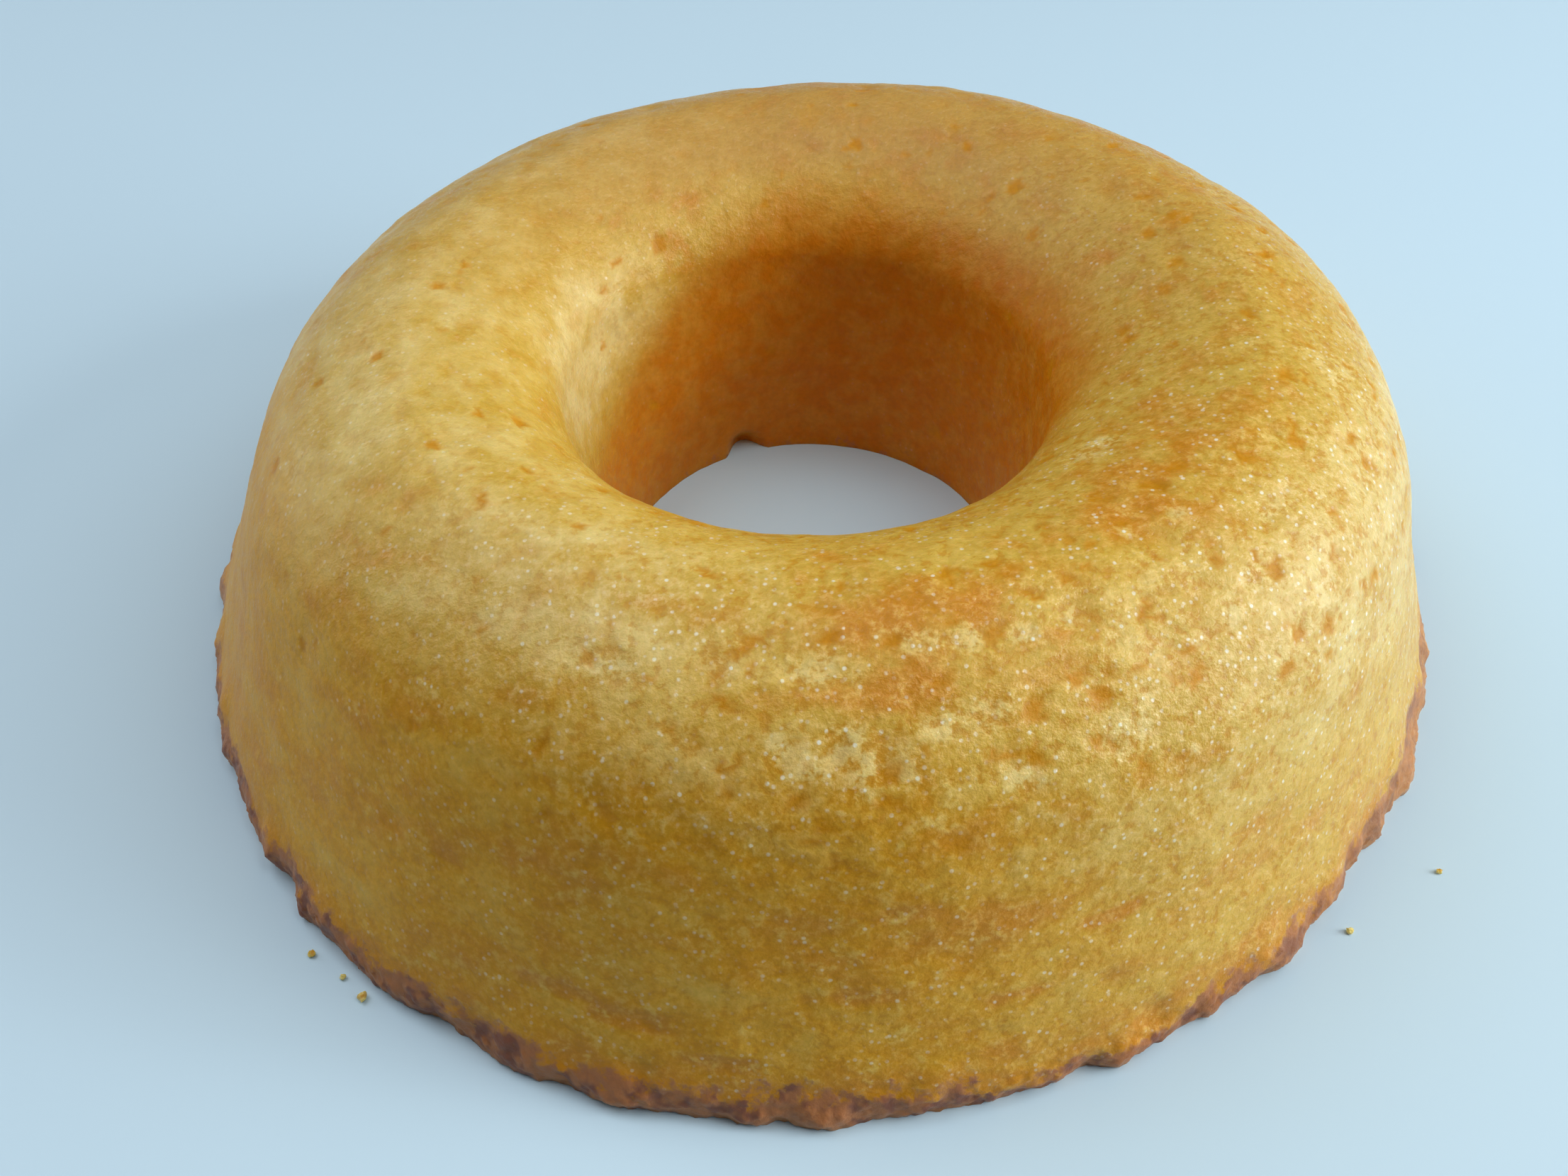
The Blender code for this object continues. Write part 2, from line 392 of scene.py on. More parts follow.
RIM_PALE_ON_GRAINS = (0.0, 0.4, 0.60, 1.0)
BROWNED_BLEND = (0.30, 0.75)
BROWNED_START = (0.0, 0.2)
TINT_BLEND = (0.25, 0.75, 0.92, 1.08)
ROUGHNESS_BLEND = (0.35, 0.70, 0.36, 0.52)
WET_BLEND = (0.48, 0.70, 0.35, 1.0)
WET_ON_DULL = (0.0, 1.0, 1.0, 0.12)
FAR_STRENGTH = 0.6
PIT_STRENGTH = 0.85

# Sizes of the material's own detail, in metres
GRAIN_SIZE, GRAIN_ROUGHNESS = 0.0010, 0.68
FRINGE_SIZE, FRINGE_ROUGHNESS = 0.0021, 0.66
FRINGE_BEND_SIZE, FRINGE_BEND = 0.0016, 0.0010
BROKEN_SIZE, BROKEN_ROUGHNESS = 0.0032, 0.60
PAINTED_GLINT_SPACING = 0.00092
FINE_BUMP, FINE_BUMP_STRENGTH = 0.00017, 0.9
GLINT_BUMP = 0.0005
LIGHT_DEPTH = 0.0022
FLOOR_CLOUDS = 0.4
FLOOR_SIZE = 4.0


def hump(distance):
    """A smooth bump: 1 in the middle, 0 from a distance of 1 outwards."""
    return np.where(distance < 1.0, (1.0 - distance * distance) ** 2, 0.0)


def ease(value, low, high):
    """0 below low, 1 above high, smooth between them."""
    share = np.clip((value - low) / (high - low), 0.0, 1.0)
    return share * share * (3.0 - 2.0 * share)


def turn_between(first, second):
    """The angle between azimuths in degrees, from 0 to 180."""
    return np.abs((first - second + 180.0) % 360.0 - 180.0)


def noise_at(places, size, offset=0.0):
    """Smooth noise from -1 to 1 at each place, with features of one size."""
    away = Vector((offset, 2.3 * offset, -1.7 * offset))
    return np.array([noise.noise(Vector(place) + away) for place in places / size])


def two_sizes(places, coarse, fine, weight, offset):
    """Noise in two sizes, the finer one at a weight of its own."""
    return noise_at(places, coarse, offset) + weight * noise_at(places, fine, offset + 2.0)


def layered(places, size, layers, roughness, offset):
    """Noise from -1 to 1 in layers, each half as wide as the one before and weaker."""
    weights = [roughness**layer for layer in range(layers)]
    total = sum(
        weight * noise_at(places, size / 2**layer, offset + layer)
        for layer, weight in enumerate(weights)
    )
    return total / sum(weights)


# ---------------------------------------- the form
def rim_point(height):
    """The section's point at one height of the rim, which bulges a little."""
    share = height / FOOT[1]
    straight = BASE_RADIUS + (FOOT[0] - BASE_RADIUS) * share
    return straight + RIM_BULGE * math.sin(math.pi * share), height


def section_points(rim_heights, wall_steps, outer_steps, inner_steps, hole_steps):
    """The section's points, from the base's outer edge over the crown to its inner edge."""
    points = [rim_point(height) for height in rim_heights]
    points.append(FOOT)
    points += straight_points(FOOT, SHOULDER, wall_steps)
    points += arch_points(SHOULDER, outer_steps)
    points += arch_points(HOLE_SHOULDER, inner_steps)[-2::-1]
    points.append(HOLE_SHOULDER)
    points += straight_points(HOLE_SHOULDER, (HOLE_RADIUS, 0.0), hole_steps)
    return points


def coarse_section():
    """The section's points as the solid has them, which the dents are drawn along."""
    rim_heights = (0.0, *RIM_HEIGHTS)
    return section_points(
        rim_heights, WALL_STEPS, OUTER_ARCH_STEPS, INNER_ARCH_STEPS, HOLE_STEPS
    )


def straight_points(start, end, steps):
    """Points on the straight line from start to end, without start itself."""
    shares = [step / steps for step in range(1, steps + 1)]
    return [
        (start[0] + (end[0] - start[0]) * share, start[1] + (end[1] - start[1]) * share)
        for share in shares
    ]


def arch_points(shoulder, steps):
    """Points of the arch from a shoulder up to the crown, without the shoulder itself."""
    points = []
    for step in range(1, steps + 1):
        angle = math.pi / 2 * step / steps
        across = max(math.cos(angle), 0.0) ** ARCH_POWER
        up = math.sin(angle) ** ARCH_POWER
        radius = CROWN_RADIUS + (shoulder[0] - CROWN_RADIUS) * across
        points.append((radius, shoulder[1] + (HEIGHT - shoulder[1]) * up))
    return points


def fine_section():
    """The same section as a smooth line: radius, height and length along it, as arrays."""
    rim_heights = [FOOT[1] * step / FINE_RIM_STEPS for step in range(FINE_RIM_STEPS)]
    points = section_points(
        rim_heights, FINE_WALL_STEPS, FINE_ARCH_STEPS, FINE_ARCH_STEPS, FINE_WALL_STEPS
    )
    radii, heights = np.array(points).T
    lengths = np.concatenate(([0.0], np.cumsum(np.hypot(np.diff(radii), np.diff(heights)))))
    crown = int(np.argmax(heights)) + 1
    soft = soften_shoulder(radii[:crown], heights[:crown], lengths[:crown])
    return np.append(soft[0], radii[crown:]), np.append(soft[1], heights[crown:]), lengths


def soften_shoulder(radii, heights, lengths):
    """Turns the outer wall gradually into the arch, where the solid has a slight kink."""
    steps = np.diff(lengths)
    middles = 0.5 * (lengths[1:] + lengths[:-1])
    lean = np.arctan2(-np.diff(radii), np.diff(heights))
    weights = np.exp(-0.5 * ((middles[:, None] - middles) / SHOULDER_SOFTENING) ** 2) * steps
    even = (weights * lean).sum(axis=1) / weights.sum(axis=1)
    share = ease(middles, *SOFT_START) * ease(lengths[-1] - middles, 0.0, SOFT_START[0])
    soft = lean + (even - lean) * share
    above = middles > SOFT_START[0]
    soft[above] = np.maximum.accumulate(soft[above])
    across = radii[0] - np.append(0.0, np.cumsum(np.sin(soft) * steps))
    up = heights[0] + np.append(0.0, np.cumsum(np.cos(soft) * steps))
    closing = np.clip((lengths - SOFT_START[0]) / (lengths[-1] - SOFT_START[0]), 0.0, 1.0)
    return across + (radii[-1] - across[-1]) * closing, up + (heights[-1] - up[-1]) * closing


def point_along(points, share):
    """The place at a share of the way along a line of points."""
    lengths = [math.dist(start, end) for start, end in zip(points, points[1:])]
    left = share * sum(lengths)
    for start, end, length in zip(points, points[1:], lengths):
        if left <= length:
            part = left / length
            return (start[0] + (end[0] - start[0]) * part, start[1] + (end[1] - start[1]) * part)
        left -= length
    return points[-1]


def make_crags(draw):
    """The rim's small crags as (azimuth in degrees, height, half width, reach)."""
    crags = []
    for _ in range(CRAG_COUNT):
        azimuth = draw.uniform(-180.0, 180.0)
        height = draw.uniform(0.0, CRAG_TOP)
        half_width = draw.uniform(*CRAG_HALF_WIDTH)
        reach = draw.uniform(*CRAG_REACH) * draw.choice((1.0, 1.0, -1.0))
        crags.append((azimuth, height, half_width, reach))
    return crags


def make_dents(draw):
    """Shallow dents above the rim as (middle, radius, depth), spread evenly over the surface."""
    points = coarse_section()
    dents = []
    while len(dents) < DENT_COUNT:
        across, height = point_along(points, draw.random())
        azimuth = draw.uniform(-180.0, 180.0)
        kept = draw.random() < across / BASE_RADIUS
        radius = draw.uniform(*DENT_RADIUS)
        depth = draw.uniform(*DENT_DEPTH)
        if kept and height > CRAG_TOP + radius:
            turn = math.radians(azimuth)
            middle = (math.cos(turn) * across, math.sin(turn) * across, height)
            dents.append((np.array(middle), radius, depth))
    return dents


class Surface:
    """The cake's points in rings from the base's outer edge to its inner one, as arrays."""

    def __init__(self):
        radii, heights, lengths = self.section = fine_section()
        rim_rings = round(FINE_RIM_TOP / RIM_SPACING)
        rings = round((lengths[-1] - FINE_RIM_TOP) / POINT_SPACING)
        rim = np.linspace(0.0, FINE_RIM_TOP, rim_rings, endpoint=False)
        along = np.concatenate((rim, np.linspace(FINE_RIM_TOP, lengths[-1], rings + 1)))
        spacing = np.where(along < FINE_RIM_TOP, RIM_SPACING, POINT_SPACING)
        ring_radius = np.interp(along, lengths, radii)
        self.counts = np.round(2.0 * math.pi * ring_radius / spacing).astype(int)
        self.starts = np.concatenate(([0], np.cumsum(self.counts)))
        rng = np.random.default_rng(PIT_SEED)
        turns, alongs = [], []
        for ring, count in enumerate(self.counts):
            at_edge = ring in (0, len(along) - 1)
            step = 2.0 * math.pi / count
            free = 0.0 if at_edge else POINT_JITTER
            shift = 0.5 * (ring % 2) + rng.uniform(-free, free, count)
            turns.append((np.arange(count) + shift) * step)
            alongs.append(along[ring] + rng.uniform(-free, free, count) * spacing[ring])
        self.turn = np.concatenate(turns)
        self.along = np.clip(np.concatenate(alongs), 0.0, lengths[-1])
        self.radius = np.interp(self.along, lengths, radii)
        self.height = np.interp(self.along, lengths, heights)
        slope_r = np.gradient(radii, lengths)
        slope_z = np.gradient(heights, lengths)
        normal_r = np.interp(self.along, lengths, slope_z)
        normal_z = -np.interp(self.along, lengths, slope_r)
        scale = np.hypot(normal_r, normal_z)
        self.out = np.stack((np.cos(self.turn), np.sin(self.turn), 0.0 * self.turn), 1)
        self.up = np.array((0.0, 0.0, 1.0))
        self.normal = self.out * (normal_r / scale)[:, None] + self.up * (normal_z / scale)[:, None]
        self.start = self.out * self.radius[:, None] + self.up * self.height[:, None]
        self.azimuth = np.degrees(np.arctan2(self.start[:, 1], self.start[:, 0]))
        self.in_hole = self.radius < CROWN_RADIUS

    def faces(self):
        """Triangles between neighbouring rings, and across the flat base."""
        triangles = []
        for ring in range(len(self.counts) - 1):
            triangles += self.zip_rings(ring, ring + 1)
        base_start = len(triangles)
        triangles += self.zip_rings(len(self.counts) - 1, 0)
        return np.array(triangles), base_start

    def zip_rings(self, first, second):
        """Triangles that join one ring to another, going round both at once."""
        first_start, first_count = self.starts[first], self.counts[first]
        second_start, second_count = self.starts[second], self.counts[second]
        triangles = []
        i = j = 0
        while i < first_count or j < second_count:
            here = first_start + i % first_count
            there = second_start + j % second_count
            if j >= second_count or (
                i < first_count and (i + 1) * second_count <= (j + 1) * first_count
            ):
                triangles.append((here, first_start + (i + 1) % first_count, there))
                i += 1
            else:
                triangles.append((here, second_start + (j + 1) % second_count, there))
                j += 1
        return triangles


def off_axis(surface):
    """How far each point moves sideways, by the lean and by the hole's offset."""
    height = surface.height
    lean = np.array(LEAN) * (height / HEIGHT)[:, None]
    low = np.minimum(height / HOLE_SHOULDER[1], 1.0)
    top = np.maximum((height - HOLE_SHOULDER[1]) / (HEIGHT - HOLE_SHOULDER[1]), 0.0)
    hole = np.array(HOLE_OFFSET) * (1.0 - top)[:, None] + np.array(LEAN) * (top * low)[:, None]
    return np.where(surface.in_hole[:, None], hole, lean)


def rim_reach(azimuth, height):
    """How far the outline stands out of its circle, from its waves and its lumps."""
    waves = sum(
        depth * np.cos(np.radians(crests * azimuth - first)) for crests, depth, first in RIM_WAVES
    )
    lumps = sum(
        reach * hump(turn_between(azimuth, middle) / half_width)
        for middle, half_width, reach in RIM_LUMPS
    )
    fade = hump(np.minimum(height / HEIGHT, 1.0))
    lump_fade = hump(np.minimum(height / RIM_LUMP_TOP, 1.0))
    return waves * fade + lumps * lump_fade


def crag_reach(crags, azimuth, height):
    """How far the small crags push the rim out."""
    reach = np.zeros(len(azimuth))
    for middle, level, half_width, most in crags:
        away = np.radians(turn_between(azimuth, middle)) * BASE_RADIUS
        reach += most * hump(np.hypot(away, height - level) / half_width)
    return reach


def solid_form(surface):
    """Each point where the solid's surface has it."""
    draw = random.Random(SEED)
    crags = make_crags(draw)
    dents = make_dents(draw)
    dent = np.zeros(len(surface.start))
    for middle, radius, most in dents:
        distance = np.linalg.norm(surface.start - middle, axis=1)
        dent = np.maximum(dent, most * hump(distance / radius))
    swell = sum(height * noise_at(surface.start, wave) for wave, height in SWELLS)
    notch_turn = np.radians(turn_between(surface.azimuth, NOTCH_AZIMUTH)) * HOLE_RADIUS
    notch = NOTCH_DEPTH * hump(notch_turn / NOTCH_HALF_WIDTH)
    notch = notch * hump(np.minimum(surface.height / NOTCH_TOP, 1.0))
    outside = rim_reach(surface.azimuth, surface.height)
    outside = outside + crag_reach(crags, surface.azimuth, surface.height)
    sideways = np.where(surface.in_hole, notch, outside)
    shift = off_axis(surface) + surface.out * sideways[:, None]
    shift = shift + surface.normal * (swell - DENT_SHARE * dent)[:, None]
    shift[:, 2] *= ease(surface.height, 0.0, RIM_HEIGHTS[0])
    return surface.start + shift


# ---------------------------------------- the fine relief
def mean_normals(places, faces):
    """The surface's own direction at each point."""
    first, second, third = (places[faces[:, corner]] for corner in range(3))
    across = np.cross(second - first, third - first)
    total = np.zeros_like(places)
    for corner in range(3):
        np.add.at(total, faces[:, corner], across)
    return total / np.maximum(np.linalg.norm(total, axis=1), 1e-12)[:, None]


def facing(surface, azimuth):
    """1 on the side that faces an azimuth, 0 on the side away from it."""
    return 0.5 + 0.5 * np.cos(np.radians(surface.azimuth - azimuth))


def sector(surface, azimuth, half_width):
    """1 at an azimuth, falling smoothly to 0 at a half width to either side of it."""
    return hump(turn_between(surface.azimuth, azimuth) / half_width)


def on_top(along, start, less_in_hole):
    """1 on the arch, 0 low on the wall, and less by a share down in the hole."""
    return ease(along, *start) * (1.0 - less_in_hole * ease(along, *TOP_END))


def zone_distance(surface, azimuth, along, half_width, half_height):
    """How far each point is from a zone's middle: 0 there, 1 at its edge."""
    turn = np.radians(turn_between(surface.azimuth, azimuth)) * surface.radius
    rise = surface.along - along * MM
    return np.hypot(turn / (half_width * MM), rise / (half_height * MM))


def zone_share(surface, zones, nearness=1.0):
    """The strongest zone's share at each point. A nearness below 1 makes zones reach further."""
    strongest = np.zeros(len(surface.start))
    for *zone, share in zones:
        distance = zone_distance(surface, *zone)
        strongest = np.maximum(strongest, share * hump(nearness * distance))
    return strongest


def torn_share(surface, places):
    """Where the skin is gone: 0 whole, 1 torn off."""
    stretched = places * np.array(TORN_STRETCH)
    edge = 0.40 * noise_at(stretched, TORN_EDGE_SIZE, 3.0)
    edge = edge + 0.30 * noise_at(places, TORN_EDGE_FINE_SIZE, 5.0)
    inside = np.full(len(places), -1.0)
    for patch in TORN_PATCHES:
        inside = np.maximum(inside, 1.0 - zone_distance(surface, *patch))
    named = ease(inside + edge, *PATCH_EDGE)
    wide = noise_at(stretched, TORN_WIDE_SIZE, 8.0)
    wide = wide + 0.55 * noise_at(places, TORN_WIDE_FINE_SIZE, 9.0)
    shoulder = hump(np.abs(surface.along - SHOULDER_MIDDLE) / SHOULDER_HALF_HEIGHT)
    luck = wide + 0.5 * edge + 0.5 * facing(surface, MOST_TORN)
    scattered = ease(luck, *SCATTER_EDGE) * shoulder
    return np.maximum(named, SCATTER_SHARE * scattered)


def hollows(surface, places):
    """Uneven shallow hollows of the open crumb: 0 outside, 1 inside."""
    push = [noise_at(places, HOLLOW_BEND_SIZE, offset) for offset in (61.0, 63.0, 65.0)]
    bent = places + HOLLOW_BEND * np.stack(push, 1)
    grain = noise_at(bent * np.array(HOLLOW_STRETCH), HOLLOW_SIZE, 67.0)
    grain = grain + HOLLOW_FINE * noise_at(bent, HOLLOW_FINE_SIZE, 69.0)
    top = on_top(surface.along, HOLLOW_START, HOLLOW_LESS_IN_HOLE)
    return ease(grain, *HOLLOW_EDGE) * (HOLLOW_LEAST + (1.0 - HOLLOW_LEAST) * top)


def make_pits(draw, radii, lengths):
    """Pits as (azimuth, distance along, radius, stretch, turn, depth)."""
    pits = []
    for azimuth, along, radius in LARGE_PITS:
        turn = draw.uniform(-NAMED_PIT_TURN, NAMED_PIT_TURN)
        depth = PIT_HOLLOW[0] * radius * MM
        pits.append((azimuth, along * MM, radius * MM, NAMED_PIT_STRETCH, turn, depth))
    while len(pits) < PIT_COUNT:
        along = draw.uniform(PIT_EDGE_MARGIN, lengths[-1] - PIT_EDGE_MARGIN)
        azimuth = draw.uniform(-180.0, 180.0)
        luck = draw.random()
        size = draw.random()
        stretch = draw.uniform(*PIT_STRETCH)
        turn = draw.uniform(0, math.pi)
        hollow = draw.uniform(*PIT_HOLLOW)
        radius_here = np.interp(along, lengths, radii)
        side = math.cos(math.radians(azimuth - MOST_PITS))
        chance = radius_here / BASE_RADIUS * (PIT_CHANCE + PIT_CHANCE_SIDE * side)
        top = on_top(along, PIT_START, PIT_LESS_IN_HOLE)
        if luck > chance * (PIT_CHANCE_LOW + PIT_CHANCE_TOP * top):
            continue
        radius = (PIT_LEAST_MM + PIT_SPREAD_MM * size**PIT_SIZE_POWER) * MM
        pits.append((azimuth, along, radius, stretch, turn, radius * hollow))
    return pits


def press_pits(surface, places):
    """How deep the pits go at each point, and how far inside a pit it is: its share of amber,
    partly painted shade.
    """
    draw = random.Random(PIT_SEED)
    tree = KDTree(len(places))
    for index, place in enumerate(surface.start):
        tree.insert(place, index)
    tree.balance()
    radii, heights, lengths = surface.section
    depth = np.zeros(len(places))
    inside = np.zeros(len(places))
    rough = noise_at(places, PIT_RAGGED_SIZE, 14.0)
    for azimuth, along, radius, stretch, turn, most in make_pits(draw, radii, lengths):
        level = np.interp(along, lengths, heights)
        across = np.interp(along, lengths, radii)
        angle = math.radians(azimuth)
        middle = Vector((math.cos(angle) * across, math.sin(angle) * across, level))
        found = [index for _, index, _ in tree.find_range(middle, PIT_REACH * radius)]
        if not found:
            continue
        found = np.array(found)
        around = np.sin(np.radians(surface.azimuth[found]) - angle) * surface.radius[found]
        climb = surface.along[found] - along
        long_way = around * math.cos(turn) + climb * math.sin(turn)
        short_way = climb * math.cos(turn) - around * math.sin(turn)
        distance = np.hypot(long_way, short_way / stretch) / radius
        distance = distance * (1.0 + PIT_RAGGED * rough[found])
        bowl = np.clip(1.0 - distance**PIT_BOWL_POWER, 0.0, 1.0)
        depth[found] = np.maximum(depth[found], most * bowl)
        shade = ease(bowl, *PIT_SHADE) * min(radius / PIT_FULL_RADIUS, 1.0)
        inside[found] = np.maximum(inside[found], shade)
    return depth, inside


def tear_depth(surface, places):
    """How deep the sideways tears go at each point, and how far inside a tear it is."""
    depth = np.zeros(len(places))
    ragged = TEAR_RAGGED * noise_at(places, TEAR_RAGGED_SIZE, 21.0)
    for *zone, most in TEARS:
        distance = zone_distance(surface, *zone) + ragged
        depth = np.maximum(depth, most * MM * hump(np.clip(distance, 0.0, 1.0)))
    return depth, np.minimum(depth / (FULL_TEAR * MM), 1.0)


def browned_share(surface, places):
    """How browned the crust is: 1 at the base's outer edge, 0 up the wall."""
    ragged = two_sizes(places, *BROWNED_NOISE)
    left = np.cos(np.radians(surface.azimuth - MOST_BROWNED))
    outer_top = BROWNED_TOP + BROWNED_TOP_LEFT * left + BROWNED_TOP_RAGGED * ragged
    outer_top = outer_top + BROWNED_TOP_RIGHT * sector(surface, *RIM_RIGHT)
    outer_top = outer_top - BROWNED_TOP_BARE * sector(surface, *RIM_BARE)
    hole_top = HOLE_BROWNED_TOP + HOLE_BROWNED_RAGGED * ragged
    top = np.where(surface.in_hole, hole_top, outer_top)
    share = 1.0 - ease(surface.height, top - BROWNED_BELOW, top + BROWNED_ABOVE)
    return np.where(surface.in_hole, HOLE_BROWNED * share, share)


def far_share(surface):
    """The far side's duller skin: partly more baked, partly a painted sheen of reflected light."""
    side = sector(surface, *FAR_SECTOR)
    return side * ease(surface.along, *FAR_START) * (1.0 - ease(surface.along, *FAR_END))


def hole_share(surface):
    """The darker orange down in the hole, which starts lower on the left and the near side:
    partly darker skin, partly painted shade.
    """
    left = sector(surface, *HOLE_LEFT)
    near = sector(surface, *HOLE_NEAR)
    start = HOLE_START + HOLE_START_LOWER * np.maximum(left, near)
    return ease(surface.along, start, start + HOLE_FADE)


def open_share(surface):
    """How open and uneven the crumb is: most on the front and right, least on the far left."""
    return OPEN_LEAST + OPEN_MORE * ease(facing(surface, MOST_OPEN), *OPEN_SIDE)


def wall_share(surface):
    """The outer wall's deeper yellow, mostly on the front and left, away from the light:
    partly its own colour, partly painted shade.
    """
    side = 0.5 - 0.5 * np.cos(np.radians(surface.azimuth - LEAST_WALL))
    side = ease(side, *WALL_SIDE)
    top = WALL_TOP + WALL_TOP_SIDE * side
    low = 1.0 - ease(surface.along, top - WALL_FADE, top)
    return low * (WALL_LEAST + WALL_MORE * side)


def fine_form(surface, places, faces):
    """The points with their fine relief, and the fields that the material reads."""
    normals = mean_normals(places, faces)
    torn = torn_share(surface, places)
    pit_depth, pit = press_pits(surface, places)
    tears, tear = tear_depth(surface, places)
    hollow = hollows(surface, places)
    crumb = two_sizes(places, *CRUMB_NOISE)
    relief = torn * (CRUMB_RELIEF * crumb - TORN_SINK)
    relief = relief + PEBBLE_RELIEF * two_sizes(places, *PEBBLE_NOISE)
    relief = relief - HOLLOW_DEPTH * hollow - pit_depth - tears
    rim = ease(RIM_RELIEF_TOP - surface.height, 0.0, RIM_RELIEF_FADE) * (~surface.in_hole)
    ragged = two_sizes(places, *RAGGED_NOISE)
    lumps = np.abs(noise_at(places, LUMP_SIZE, 55.0))
    lumps = lumps + LUMP_FINE * np.abs(noise_at(places, LUMP_FINE_SIZE, 57.0))
    relief = relief + rim * (RIM_RAGGED * ragged + RIM_LUMPINESS * lumps - RIM_SINK)
    moved = places + normals * relief[:, None]
    base = surface.height < BASE_LEVEL
    moved[base] = places[base] + surface.out[base] * relief[base][:, None]
    moved[:, 2] = np.where(base, 0.0, np.maximum(moved[:, 2], LEAST_HEIGHT))
    fields = {
        "torn": torn,
        # The pits' and hollows' share of amber, partly painted shade
        "pit": np.maximum(pit, HOLLOW_SHADE * hollow),
        "brown": browned_share(surface, places),
        "wall": wall_share(surface),
        "pale": zone_share(surface, PALE_AND_LIT_ZONES),
        "far": far_share(surface),
        "hole": hole_share(surface),
        "open": open_share(surface),
    }
    fields["warm"] = baked_share(surface, tear, fields["pale"])
    return moved, fields


def baked_share(surface, tear, pale):
    """How baked the skin is from place to place: below 0 paler, above 0 more baked."""
    sheet = surface.out * SHEET_RADIUS + surface.up * surface.along[:, None]
    low = 1.0 - ease(surface.along, *LOW_WALL)
    warm = baked_clouds(sheet) + TEAR_WARMTH * tear + LOW_WARMTH * low - PALE_COOLNESS * pale
    return warm + zone_share(surface, BAKED_ZONES, BAKED_NEARNESS)


def baked_clouds(sheet):
    """Uneven baking in sideways bands and in patches, from about -1 to 1."""
    bands, patches = (
        layered(sheet * np.array(stretch), *rest) for stretch, *rest in (BAND_NOISE, PATCH_NOISE)
    )
    return BAND_WEIGHT * bands + PATCH_WEIGHT * patches


# ---------------------------------------- materials
def linear(colour):
    """An sRGB colour in bytes as the linear colour that nodes take."""
    shares = [value / 255.0 for value in colour]
    straight = [s / 12.92 if s <= 0.04045 else ((s + 0.055) / 1.055) ** 2.4 for s in shares]
    return (*straight, 1.0)


def new_material(name):
    material = bpy.data.materials.new(name)
    material.use_nodes = True
    return material, material.node_tree, material.node_tree.nodes["Principled BSDF"]


def node(tree, kind, inputs=(), **settings):
    """A node with its settings, its input values and its links."""
    made = tree.nodes.new(kind)
    for name, value in settings.items():
        setattr(made, name, value)
    for key, value in dict(inputs).items():
        if isinstance(value, bpy.types.NodeSocket):
            tree.links.new(value, made.inputs[key])
        else:
            made.inputs[key].default_value = value
    return made


def math_of(tree, operation, first, second):
    return node(tree, "ShaderNodeMath", {0: first, 1: second}, operation=operation).outputs[0]


def product(tree, first, *others):
    """The values multiplied from left to right."""
    for other in others:
        first = math_of(tree, "MULTIPLY", first, other)
    return first


def most_of(tree, first, second):
    return math_of(tree, "MAXIMUM", first, second)


def blend_colour(tree, share, first, second):
    inputs = {0: share, 6: first, 7: second}
    return node(tree, "ShaderNodeMix", inputs, data_type="RGBA").outputs[2]


def spread(tree, value, low, high, to_low=0.0, to_high=1.0):
    """Maps low..high to to_low..to_high, smoothly and clamped."""
    inputs = {0: value, 1: low, 2: high, 3: to_low, 4: to_high}
    made = node(tree, "ShaderNodeMapRange", inputs, interpolation_type="SMOOTHSTEP")
    return made.outputs[0]


def noise_of(tree, where, size, detail, roughness=0.55):
    inputs = {"Vector": where, "Scale": 1.0 / size, "Detail": detail, "Roughness": roughness}
    return node(tree, "ShaderNodeTexNoise", inputs).outputs["Fac"]


def field(tree, name):
    return node(tree, "ShaderNodeAttribute", attribute_name=name).outputs["Fac"]


def shifted(tree, where, size, reach):
    """The coordinates pushed about by noise, so that what they drive is less even."""
    inputs = {"Vector": where, "Scale": 1.0 / size, "Detail": 2.0}
    push = node(tree, "ShaderNodeTexNoise", inputs).outputs["Color"]
    middle = node(tree, "ShaderNodeVectorMath", {0: push, 1: (0.5, 0.5, 0.5)}, operation="SUBTRACT")
    scaled = node(tree, "ShaderNodeVectorMath", {0: middle.outputs[0], 3: reach}, operation="SCALE")
    moved = node(tree, "ShaderNodeVectorMath", {0: where, 1: scaled.outputs[0]}, operation="ADD")
    return moved.outputs[0]


def weighted(tree, *parts):
    """The sum of (value, middle, weight) parts, each as its distance from the middle."""
    total = None
    for value, middle, weight in parts:
        part = math_of(tree, "MULTIPLY", math_of(tree, "SUBTRACT", value, middle), weight)
        total = part if total is None else math_of(tree, "ADD", total, part)
    return total


def skin_and_crumb(tree, fields, grain, fringe, broken):
    """The baked skin, and the paler crumb where it is light, worn or torn off."""
    wall, torn, uneven = fields["wall"], fields["torn"], fields["open"]
    warm = weighted(tree, (fields["warm"], 0.0, 1.0), (grain, 0.5, 0.5))
    # On the wall, deeper yellow and less of the paler crumb: partly its own colour, partly painted
    # shade
    skin = blend_colour(tree, wall, linear(SKIN), linear(WALL_IN_SHADE))
    colour = blend_colour(tree, spread(tree, warm, *BAKED_BLEND), skin, linear(BAKED))
    light = product(tree, spread(tree, warm, *LIGHT_BLEND), spread(tree, wall, *LIGHT_ON_WALL))
    worn = weighted(
        tree, (fringe, 0.5, 2.2), (grain, 0.5, 1.1), (torn, 0.0, 0.85), (wall, 0.0, 0.12)
    )
    worn = product(
        tree, spread(tree, worn, *WORN_BLEND), uneven, spread(tree, broken, *WORN_BROKEN)
    )
    clumps = spread(tree, fringe, *TORN_CLUMPS)
    # The pale zones are partly paler crumb, partly painted light
    paler = most_of(tree, fields["pale"], product(tree, torn, clumps))
    crumb = blend_colour(tree, paler, linear(CRUMB), linear(CRUMB_PALE))
    return blend_colour(tree, most_of(tree, light, worn), colour, crumb)


